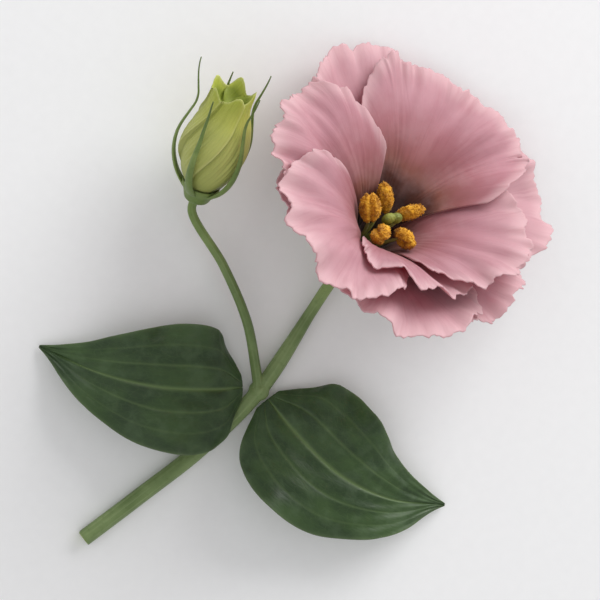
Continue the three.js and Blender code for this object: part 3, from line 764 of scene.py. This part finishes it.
def anther(seed):
    """Two pollen sacs side by side, split open and mealy, with loose grains on them."""
    T, A = np.meshgrid(np.linspace(0, 1, ANTHER_ROWS), circle(ANTHER_SIDES), indexing="ij")
    size = 0.16 + 0.84 * np.sin(np.pi * (0.02 + 0.96 * T)) ** 0.55
    groove = 1 - 0.4 * np.exp(-((np.cos(A) / 0.26) ** 2))
    split = 1 - 0.1 * np.exp(-(((np.abs(np.cos(A)) - 0.78) / 0.1) ** 2)) * (np.sin(A) > 0)
    notch = 1 - 0.25 * np.exp(-((np.cos(A) / 0.5) ** 2)) * ramp(0.75, 1, np.abs(2 * T - 1))
    x = ANTHER["width"] / 2 * size * np.cos(A) * split
    y = ANTHER["thick"] / 2 * size * np.sin(A) * groove * split
    z = ANTHER["length"] * (T - 0.5) * notch
    points = np.stack([x, y, z], axis=-1)
    out = unit(points * np.array([1, 1.4, 0.5]))
    lump = 0.2 * bumps(points, 1.5, seed) + 0.13 * bumps(points, 4.2, seed + 9)
    lump = lump + 0.06 * bumps(points, 9.0, seed)
    points = points + out * (lump[..., None] - ANTHER_SINK)
    parts = [(*rings(points), 1)]
    rng = np.random.default_rng(int(seed * 10) + 5)
    spots = rng.integers(0, ANTHER_ROWS * ANTHER_SIDES, GRAIN_COUNT)
    flat = points.reshape(-1, 3)
    spoke = out.reshape(-1, 3)
    for s in spots:
        r = rng.uniform(*GRAIN_RADII)
        g, f = rings(grain(r, s))
        parts.append((g + flat[s] + spoke[s] * r * 0.3, f, 1))
    return merge(parts)


def filament(stamen):
    b = stamen["bearing"] * DEG
    r, h = stamen["reach"], stamen["height"]
    path = Curve([
        around(b, FILAMENT_RING, SEAT_GAP),
        around(b, FILAMENT_RING + 0.1, h * 0.45),
        around(b, mix(FILAMENT_RING, r, 0.5), h * 0.78),
        around(b, r, h),
    ])

    def radius(turn, t):
        return FILAMENT_RADIUS * mix(1.15, 0.8, t)

    return tube(path, 30, 14, radius, around(b + 0.9, 1, 0.1))


def stamen_material():
    n = Nodes("pollen_and_filament")
    cloud = n.noise(n.where, 420, 4)
    dust = n.cells(n.where, 2400)
    colour = n.ramp(cloud, [
        (0.28, (124, 78, 16)), (0.42, (168, 110, 22)), (0.56, (204, 144, 32)), (0.72, (226, 176, 62)),
    ])
    colour = n.tint(colour, srgb(244, 200, 92), 0.35, dust, 0.5, 0.1)
    colour = n.blend(n.attribute("kind"), srgb(176, 172, 96), colour)
    normal = n.bump(n.math("SUBTRACT", 1.0, dust), 0.6, 0.00012)
    return n.shader(colour, n.span(cloud, 0.3, 0.7, 0.7, 0.9), shine=0.2, sheen=0.1, normal=normal)


def make_stamens():
    material = stamen_material()
    for k, stamen in enumerate(STAMENS):
        head, faces, kind = anther(k * 2.3 + 0.4)
        b = stamen["bearing"] * DEG
        for axis, angle in (("Y", stamen["lean"] * DEG), ("X", stamen["twist"] * DEG), ("Z", b)):
            head = turned_about(head, axis, angle)
        head = head + around(b, stamen["reach"] + 0.3, stamen["height"] + 0.5)
        points, faces, kind = merge([(*filament(stamen), 0), (head, faces, kind)])
        make_piece(f"stamen_{k + 1}", in_bloom(points), faces, material, dict(kind=kind))


make_stamens()

PISTIL = dict(ovary=1.45, style=0.7, neck=7.5, top=13.2)
PISTIL_SIDES = 32
LOBE = (1.6, 1.05, 1.4)
LOBE_APART = 0.95
LOBE_LIFT = 0.9
LOBE_LEAN = 35 * DEG
LOBE_TURN = 40 * DEG


def pistil_body():
    ovary, style, neck, top = PISTIL.values()
    grid = spun([
        (0.95, SEAT_GAP), (1.25, 1.2), (ovary, 2.4), (ovary, 4.0), (1.15, 5.8), (style + 0.05, neck),
        (style - 0.08, 10), (style, top), (style * 0.6, top + 0.3),
    ], 60, PISTIL_SIDES)
    seam = 1 - 0.07 * np.exp(-((np.sin(circle(PISTIL_SIDES)) / 0.2) ** 2))
    return rings(grid * np.stack([seam, seam, np.ones(PISTIL_SIDES)], axis=-1))


def stigma_lobe(side):
    spoke, V, A = ball(40, 48, 0.02)
    lobe = spoke * LOBE
    knobs = 0.1 * np.sin(14 * A) * np.sin(17 * V) + bumps(lobe, 3.0, 4.0) * 0.12
    lobe = lobe + spoke * (knobs * np.sin(V))[..., None]
    lobe = turned_about(lobe, "Y", side * LOBE_LEAN) + (side * LOBE_APART, 0, PISTIL["top"] + LOBE_LIFT)
    return rings(turned_about(lobe, "Z", LOBE_TURN))


def pistil_material():
    n = Nodes("pistil_green")
    cloud = n.noise(n.where, 500)
    patch = n.span(cloud, 0.3, 0.7)
    low = n.blend(patch, srgb(84, 96, 38), srgb(118, 126, 58))
    high = n.blend(patch, srgb(86, 96, 34), srgb(138, 142, 62))
    colour = n.blend(n.attribute("t"), low, high)
    normal = n.bump(n.cells(n.where, 2000), 0.5, 0.0001)
    return n.shader(colour, n.span(cloud, 0.3, 0.7, 0.4, 0.6), shine=0.4, normal=normal)


def make_pistil():
    points, faces, t = merge([(*pistil_body(), 0), (*stigma_lobe(-1), 1), (*stigma_lobe(1), 1)])
    make_piece("pistil", in_bloom(points), faces, pistil_material(), dict(t=t))


make_pistil()

# ---- Stem ----
STEM_RADIUS = 1.75
NODE_POINT = np.array([0.4, -37, 2.3])
TAPER_AT = 0.52  # how far along its path, past the leaf node, the stem thins to the pedicel
KNOT = (2.3, 2.2, 2.2)
PEDICEL_REST = 1.8
SIDE_RADII = (1.15, 0.95)  # of the side pedicel, at its foot and under the bud
PEDICEL_BEND = (BLOOM_FOOT[2] - PEDICEL_REST) / (1 - math.cos(BLOOM_TILT))
BUD_FOOT = np.array([-36, -7, 9.5])
BUD_AXIS = np.array([-0.3, 0.84, 0.45])
BUD_RECEPTACLE = 2.3


def pedicel_point(share, aside):
    turn = BLOOM_TILT * share
    y = BLOOM_FOOT[1] - PEDICEL_BEND * (math.sin(BLOOM_TILT) - math.sin(turn))
    return (BLOOM_FOOT[0] + aside, y, PEDICEL_REST + PEDICEL_BEND * (1 - math.cos(turn)))


STEM_PATH = Curve([
    (-15, -84, 1.7), (-9.5, -70, 1.7), (-3.5, -54, 1.72), NODE_POINT,
    pedicel_point(0.22, 0.9), pedicel_point(0.45, 0.6), pedicel_point(0.7, 0.2), pedicel_point(0.97, 0),
])
BUD_PATH = Curve([
    NODE_POINT, (-3.6, -32.8, 4.0), (-11, -25.5, 6.0), (-22, -18, 6.4),
    BUD_FOOT - BUD_AXIS * 5.5, BUD_FOOT - BUD_AXIS * 0.8,
])
VOXEL = 0.26
SMOOTHING = 4
CUT_FADE = (-0.35, -0.12)  # between which places, in mm along the stem's end, the pith's colour comes in


def flutes(turn, t):
    return 1 + 0.035 * np.cos(4 * turn + 3 * t) + 0.018 * np.cos(9 * turn - 5 * t)


def stem_section(turn, t):
    taper = mix(STEM_RADIUS, PEDICEL_RADIUS, ramp(TAPER_AT - 0.06, TAPER_AT + 0.06, t))
    return (taper + 0.35 * ramp(0.85, 1, t)) * flutes(turn, t)


def side_section(turn, t):
    return (mix(*SIDE_RADII, t) + 0.2 * ramp(0.85, 1, t)) * flutes(turn, t)


def stem_parts():
    cup = spun([
        (0.02, -RECEPTACLE_DEPTH), (PEDICEL_RADIUS + 0.4, -RECEPTACLE_DEPTH),
        (RECEPTACLE_RADIUS * 0.75, -1.3), (RECEPTACLE_RADIUS, -0.3), (RECEPTACLE_RADIUS, 0), (0.02, 0),
    ], 40, 48)
    bud_cup = spun([
        (0.02, -1.6), (1.1, -1.6), (BUD_RECEPTACLE, -0.2), (BUD_RECEPTACLE, 0), (0.02, 0),
    ], 40, 32)
    return [
        tube(STEM_PATH, 240, 40, stem_section),
        tube(BUD_PATH, 150, 32, side_section),
        rings(ball(24, 36, 0.05)[0] * KNOT + NODE_POINT),
        rings(in_bloom(cup)),
        rings(stand(bud_cup, BUD_FOOT, BUD_AXIS)),
    ]


def remeshed(parts):
    """Joins overlapping parts into one skin, as tissue grown in one piece. Gives points and faces."""
    points, faces, _ = merge([(p, f, 0) for p, f in parts])
    mesh = make_mesh("joined", points, faces)
    body = add_object("joined", mesh)
    join = body.modifiers.new("join", "REMESH")
    join.mode = "VOXEL"
    join.voxel_size = VOXEL
    soften = body.modifiers.new("soften", "SMOOTH")
    soften.factor = 0.5
    soften.iterations = SMOOTHING
    shown = body.evaluated_get(bpy.context.evaluated_depsgraph_get())
    done = shown.to_mesh()
    points = np.array([tuple(v.co) for v in done.vertices])
    quads = np.array([tuple(p.vertices) for p in done.polygons])
    shown.to_mesh_clear()
    bpy.data.objects.remove(body)
    bpy.data.meshes.remove(mesh)
    return points, [quads]


def nearest(points, path, count=260):
    """For each point, how far along a curve it lies, and its distance from the curve."""
    t = np.linspace(0, 1, count)
    away = np.array([np.linalg.norm(points - spot, axis=1) for spot in path.at(t)])
    return t[away.argmin(axis=0)], away.min(axis=0)


def grain_along(points, t, path):
    """Where each point lies round a stalk (cosine and sine) and along it, in centimetres."""
    tangent = path.along(t)
    side = unit(np.cross(tangent, np.array([0, 0, 1.0])))
    lift = np.cross(side, tangent)
    spoke = unit(points - path.at(t))
    line = path.at(np.linspace(0, 1, 100))
    length = np.linalg.norm(np.diff(line, axis=0), axis=1).sum() / 10
    return np.stack([np.sum(spoke * side, axis=-1), np.sum(spoke * lift, axis=-1), t * length], axis=-1)


def stem_material():
    n = Nodes("stem_green")
    cloud = n.noise(n.where, 90, 4)
    patch = n.span(cloud, 0.35, 0.68)
    streak = n.noise(n.scaled(n.attribute("grain", "Vector"), (3.2, 3.2, 0.5)), 1.0)
    speck = n.noise(n.where, 1100, 2)
    old = n.blend(patch, srgb(92, 114, 62), srgb(122, 142, 90))
    young = n.blend(patch, srgb(106, 130, 62), srgb(136, 156, 88))
    colour = n.blend(n.span(n.attribute("t"), 0.5, 0.9), old, young)
    colour = n.tint(colour, srgb(152, 168, 118), 0.3, streak, 0.5, 0.7)
    colour = n.tint(colour, srgb(74, 92, 48), 0.2, speck, 0.55, 0.7)
    pith = n.ramp(n.attribute("ring"), [
        (0.0, (206, 214, 168)), (0.5, (196, 206, 150)), (0.68, (150, 168, 100)),
        (0.78, (188, 198, 140)), (0.94, (120, 140, 78)),
    ])
    colour = n.blend(n.attribute("cut"), colour, pith)
    rough = n.span(cloud, 0.3, 0.7, 0.4, 0.55)
    return n.shader(colour, rough, shine=0.4, normal=n.bump(streak, 0.3, 0.0002))


def make_stem():
    points, faces = remeshed(stem_parts())
    points[:, 2] = np.maximum(points[:, 2], 0.0)
    share, away = nearest(points, STEM_PATH)
    side_share, side_away = nearest(points, BUD_PATH, 160)
    on_side = (side_away < away) & (side_share > 0.05)
    end, out = STEM_PATH.at(0), -STEM_PATH.along(0)
    from_end = points - end
    main_grain = grain_along(points, share, STEM_PATH)
    side_grain = grain_along(points, side_share, BUD_PATH)
    att = dict(
        t=np.where(on_side, side_share, share),
        cut=ramp(*CUT_FADE, from_end @ out),
        ring=np.linalg.norm(np.cross(from_end, out), axis=1) / STEM_RADIUS,
        grain=np.where(on_side[:, None], side_grain, main_grain),
    )
    make_piece("stem", points, faces, stem_material(), att)


make_stem()

# ---- Leaves ----
LEAF_ROWS, LEAF_COLUMNS = 161, 145
LEAF_SKIN = 0.5
LEAF_MARGIN = 0.3
LEAF_CLEAR = 0.05
MIDRIB_WIDTH = 0.05
LEAF_OUTLINE = [
    (0, 0.2), (0.08, 0.5), (0.2, 0.84), (0.36, 1), (0.52, 0.93), (0.7, 0.66), (0.85, 0.34),
    (0.95, 0.11), (1, 0.02),
]
LEAVES = dict(
    leaf_right=dict(
        spine=[(3.05, -37.5, 2.6), (10, -40, 6.4), (23, -43, 8.6), (37, -42, 6.2), (50, -37, 1.0)],
        width=31, roll=-6, phase=0.4, droop=0.13,
    ),
    leaf_left=dict(
        spine=[
            (-3.5, -38.2, 3.6), (-9, -41.3, 7.4), (-20.5, -47.2, 9.2), (-33, -51.5, 6.4), (-45.5, -53.5, 1),
        ],
        width=28, roll=7, phase=2.1, droop=0.15,
    ),
)
# a lane's place from the midrib to the margin, its depth and its width
VEIN_LANES = ((0.0, 1.0, 0.032), (0.36, 0.4, 0.02), (0.68, 0.22, 0.018))


def leaf_middle(leaf, u, t):
    spine = Curve(leaf["spine"])
    point = spine.at(t)
    tangent = spine.along(t)
    side = unit(np.stack([tangent[..., 1], -tangent[..., 0], 0 * t], axis=-1))
    roll = leaf["roll"] * DEG
    side = side * math.cos(roll) + np.cross(tangent, side) * math.sin(roll)
    lift = unit(np.cross(side, tangent))
    half = leaf["width"] / 2 * outline_at(LEAF_OUTLINE, t)
    wave = 1.8 * u * u * ramp(0.08, 0.4, t) * np.sin(16 * t + leaf["phase"] + np.sign(u) * 1.1)
    fold = 2.4 * np.abs(u) ** 1.3 * ramp(0, 0.35, t)
    small = 0.3 * ramp(0.7, 1.0, np.abs(u)) * np.sin(43 * t + 2 * leaf["phase"] + 2.0 * np.sign(u))
    rise = -leaf["droop"] * half * u * u + (fold + wave + small) * half / 13
    return point + side * (u * half)[..., None] + lift * rise[..., None]


def vein_depth(u, t):
    """How deep the veins press into the leaf: the midrib and two lanes on each side of it."""
    fade = ramp(1.0, 0.82, t)
    depth = 0
    for lane, weight, wide in VEIN_LANES:
        bow = lane * (1 - 0.12 * (2 * t - 1) ** 2)
        reach = fade if lane == 0 else ramp(0.95, 0.62, t)
        depth = depth + weight * np.exp(-(((np.abs(u) - bow) / wide) ** 2)) * reach
    return depth


def midrib(u, t):
    return np.exp(-((u / MIDRIB_WIDTH) ** 2)) * ramp(1.0, 0.3, t)


def leaf_thickness(u, t):
    return mix(LEAF_SKIN, LEAF_MARGIN, np.abs(u) ** 3) + 0.54 * midrib(u, t)


def leaf_relief(u, t):
    """How far the leaf stands out: puckers between its veins, less the veins, which are pressed in."""
    pucker = 0.16 * np.cos(TAU * 2.9 * np.abs(u)) * np.sin(19 * t + 5 * np.abs(u)) * ramp(0.05, 0.3, t)
    return pucker * (1 - np.abs(u) ** 4) - 0.26 * vein_depth(u, t) - 0.22 * midrib(u, t)


def leaf_material(name, seed):
    n = Nodes(name)
    fan = n.attribute("fan", "Vector")
    vein = n.attribute("vein")
    cloud = n.noise(n.scaled(fan, (3, 6, 1), (seed, 0, 0)), 1.0, 4)
    net = n.cells(n.scaled(fan, (16, 26, 1), (seed, 0, 0)), 1.0, "DISTANCE_TO_EDGE")
    fibre = n.noise(n.scaled(fan, (50, 5, 1), (seed, 0, 0)), 1.0)
    bloom = n.noise(n.where, 260, 4)
    patch = n.span(cloud, 0.3, 0.7)
    upper = n.blend(patch, srgb(36, 60, 26), srgb(56, 82, 38))
    upper = n.tint(upper, srgb(88, 110, 78), 0.3, bloom, 0.45, 0.7)
    upper = n.tint(upper, srgb(78, 104, 58), 0.16, net, 0.06, 0.0)
    upper = n.blend(n.math("MULTIPLY", vein, 0.66), upper, srgb(110, 134, 80))
    lower = n.blend(patch, srgb(104, 122, 92), srgb(124, 142, 110))
    lower = n.blend(n.math("MULTIPLY", vein, 0.7), lower, srgb(150, 166, 122))
    colour = n.blend(n.attribute("face"), lower, upper)
    colour = n.blend(n.math("MULTIPLY", n.attribute("rim"), 0.5), colour, srgb(112, 132, 90))
    height = n.math("ADD", n.math("MULTIPLY", fibre, 0.4), n.span(net, 0.0, 0.3, 0.0, 0.35))
    normal = n.bump(height, 0.16, 0.0003)
    normal = n.bump(n.noise(n.where, 1800, 2), 0.08, 0.0001, normal)
    through = n.blend(1.0, colour, srgb(190, 220, 110), "MULTIPLY")
    rough = n.span(bloom, 0.3, 0.7, 0.4, 0.54)
    return n.shader(colour, rough, shine=0.42, sheen=0.06, normal=normal, through=through, share=0.1)


def make_leaves():
    for k, (name, leaf) in enumerate(LEAVES.items()):
        u, t = np.linspace(-1, 1, LEAF_COLUMNS), np.linspace(0, 1, LEAF_ROWS)
        points, faces, u, t, face = blade(partial(leaf_middle, leaf), u, t, leaf_thickness, leaf_relief)
        half = leaf["width"] / 2 * outline_at(LEAF_OUTLINE, t)
        points[:, 2] = np.maximum(points[:, 2], LEAF_CLEAR)
        att = dict(
            fan=np.stack([u * half / 15, t, np.full(len(half), k * 3.1)], axis=-1),
            vein=np.clip(vein_depth(u, t), 0, 1),
            rim=np.exp(-(1 - np.abs(u)) * half / 0.35),
            face=face,
        )
        make_piece(name, points, faces, leaf_material(name + "_tissue", 2.0 + k), att)


make_leaves()

# ---- Side bud ----
BUD_PETALS = 5
BUD = dict(length=24, radius=6.9, twist=1.3, tip=2.2, hollow=2.6)
BUD_OUTLINE = [
    (0, 0.3), (0.06, 0.51), (0.18, 0.78), (0.34, 0.96), (0.5, 1), (0.7, 0.87), (0.86, 0.68), (1, 0.6),
]
BUD_ROWS, THROAT_ROWS, BUD_SIDES = 150, 44, 240
BUD_COLOURS = [
    (0.0, (156, 166, 84)), (0.3, (186, 191, 106)), (0.65, (196, 200, 112)),
    (0.88, (194, 199, 94)), (1.0, (188, 195, 84)),
]
# each sepal's bearing, length and flare
BUD_SEPALS = [(20, 29, 2.5), (90, 26, 1.2), (164, 30, 3), (234, 25, 1.5), (306, 28, 2)]


def bud_radius(t):
    return BUD["radius"] * outline_at(BUD_OUTLINE, t)


def bud_shape():
    """The rolled corolla: petals wound round each other, their lips, and the throat that they roll into."""
    t = np.concatenate([np.linspace(0, 1, BUD_ROWS), np.ones(THROAT_ROWS)])
    inward = np.concatenate([np.zeros(BUD_ROWS), np.linspace(0, 1, THROAT_ROWS + 1)[1:] ** 1.3])
    T, A = np.meshgrid(t, circle(BUD_SIDES), indexing="ij")
    I = inward[:, None] + 0 * A
    twisted = A + TAU * BUD["twist"] * (T + 0.5 * I) / BUD_PETALS
    fold = (twisted / TAU * BUD_PETALS - BUD["twist"] * (T + 0.5 * I) + 20) % 1
    ridge = 0.17 * (fold - 0.5) * ramp(0.05, 0.4, T)
    crease = -0.035 * np.exp(-(((fold - 0.48) / 0.05) ** 2)) * ramp(0.1, 0.5, T)
    ribs = 0.009 * np.sin(TAU * 9 * fold + 2 * T) * ramp(0.1, 0.4, T)
    crown = np.sin(np.pi * fold**1.4) ** 2
    tip = BUD["tip"] * crown * ramp(0.78, 1.0, T)
    flare = 0.14 * crown * ramp(0.86, 1.0, T) * (1 - I) ** 6
    r = bud_radius(T) * (1 + (ridge + crease + ribs) * (1 - I) + flare) * mix(1, 0.2, I)
    swirl = 1.5 * (fold - 0.5) * np.sin(np.pi * np.minimum(1, 1.15 * I)) ** 0.7
    z = SEAT_GAP + BUD["length"] * T + tip * (1 - I) ** 5 - BUD["hollow"] * I**0.5 + swirl
    att = dict(
        t=capped(T, 0, 1),
        fold=capped(fold, 0.5, 0.5),
        lip=capped(ramp(0.8, 1.0, T) * crown, 0, 0),
        depth=capped(I, 0, 1),
        rim=capped(ramp(0.97, 1.0, T) * (1 - ramp(0.0, 0.05, I)), 0, 0),
        fan=np.stack([capped(fold, 0, 0), capped(T, 0, 1), capped(0 * T, 0, 0)], axis=-1),
    )
    return *rings(around(twisted, r, z)), att


def bud_material():
    n = Nodes("bud_tissue")
    cloud = n.noise(n.where, 180, 4)
    veins = n.noise(n.scaled(n.attribute("fan", "Vector"), (22, 2.2, 1)), 1.0)
    fold = n.attribute("fold")
    drift = n.math("MULTIPLY", n.math("SUBTRACT", cloud, 0.5), 0.2)
    colour = n.ramp(n.math("ADD", n.attribute("t"), drift), BUD_COLOURS)
    colour = n.tint(colour, srgb(152, 164, 84), 0.28, veins, 0.5, 0.7)
    # painted highlight along each rolled petal's outer edge
    colour = n.tint(colour, srgb(222, 222, 150), 0.55, fold, 0.9, 1.0)
    # painted shade in the crease under the next petal's overlapping edge
    colour = n.tint(colour, srgb(128, 140, 62), 0.4, fold, 0.16, 0.0)
    colour = n.tint(colour, srgb(180, 190, 70), 0.6, n.attribute("lip"), 0.2, 0.9)
    # painted shade, darker and more olive into the hollow of the tip
    colour = n.blend(n.span(n.attribute("depth"), 0.0, 0.25), colour, srgb(128, 140, 44))
    # painted highlight, a pale line along the rim of the tip
    colour = n.tint(colour, srgb(214, 218, 140), 0.6, n.attribute("rim"), 0.0, 1.0)
    rough = n.span(cloud, 0.3, 0.7, 0.45, 0.6)
    normal = n.bump(veins, 0.25, 0.0002)
    return n.shader(colour, rough, shine=0.36, sheen=0.08, normal=normal, through=colour, share=0.15)


def make_bud():
    points, faces, att = bud_shape()
    points = stand(points, BUD_FOOT, BUD_AXIS)
    make_piece("bud_corolla", points, faces, bud_material(), att)


def make_bud_calyx():
    wide = BUD_RECEPTACLE
    cup = spun([
        (1.75, -1.9), (2.1, -2.3), (2.6, -2.2), (wide + 1.1, -0.3), (wide + 1.9, 1.3), (wide + 1.75, 1.75),
        (wide + 1.3, 1.5), (wide + 0.45, -0.1), (1.75, -1.9),
    ], 61, 60)[:-1]
    parts = [(cup, walled(cup), 0)]
    for k, (degrees, length, flare) in enumerate(BUD_SEPALS):
        bearing = degrees * DEG

        def at(T, across, out):
            z = mix(0.2, length, T)
            beside = bud_radius(np.minimum(0.92, z / BUD["length"])) * 1.09 + 0.75
            r = np.maximum(beside, BUD_RECEPTACLE + 1.1) + flare * ramp(0.55, 1, T) + out
            sway = across + 0.7 * np.sin(2.6 * T + k) * ramp(0.5, 1.0, T)
            return around(bearing, r, z) + sway[..., None] * around(bearing + math.pi / 2, 1.0, 0.0)

        def half(T):
            return mix(1.3, 0.14, T**0.75)

        parts.append(keeled_strip(at, 70, half, (0.6, 0.12), (0.6, 0.2)))
    points, faces, t = merge(parts)
    points = stand(points, BUD_FOOT, BUD_AXIS)
    make_piece("bud_calyx", points, faces, SEPAL_GREEN, dict(t=t))


make_bud()
make_bud_calyx()


# ---- Stage: pale floor and soft studio light ----
FLOOR_SIZE = 6
SKY_STRENGTH = 0.6
LAMP_TARGET = Vector((0, 0.03, 0))
LAMPS = dict(
    key=dict(place=Vector((0.1, 1.0, 0.36)), size=0.8, power=12),
    fill=dict(place=Vector((-0.5, -0.3, 1.0)), size=0.9, power=1.0),
)


def make_stage():
    bpy.ops.mesh.primitive_plane_add(size=FLOOR_SIZE, location=(0, 0, 0))
    floor = bpy.context.object
    floor.name = "floor"
    n = Nodes("floor_paper")
    colour = n.blend(n.noise(n.where, 400, 2), srgb(240, 240, 241), srgb(244, 244, 245))
    floor.data.materials.append(n.shader(colour, 0.9, shine=0.1))
    world = bpy.data.worlds.new("studio")
    bpy.context.scene.world = world
    world.use_nodes = True
    sky = world.node_tree.nodes["Background"]
    sky.inputs["Color"].default_value = (1, 1, 1, 1)
    sky.inputs["Strength"].default_value = SKY_STRENGTH
    for name, lamp in LAMPS.items():
        data = bpy.data.lights.new(name, "AREA")
        data.size = lamp["size"]
        data.energy = lamp["power"]
        holder = add_object(name, data)
        holder.location = lamp["place"]
        holder.rotation_mode = "QUATERNION"
        holder.rotation_quaternion = (LAMP_TARGET - lamp["place"]).to_track_quat("-Z", "Y")
    bpy.context.scene.view_settings.view_transform = "Standard"


make_stage()
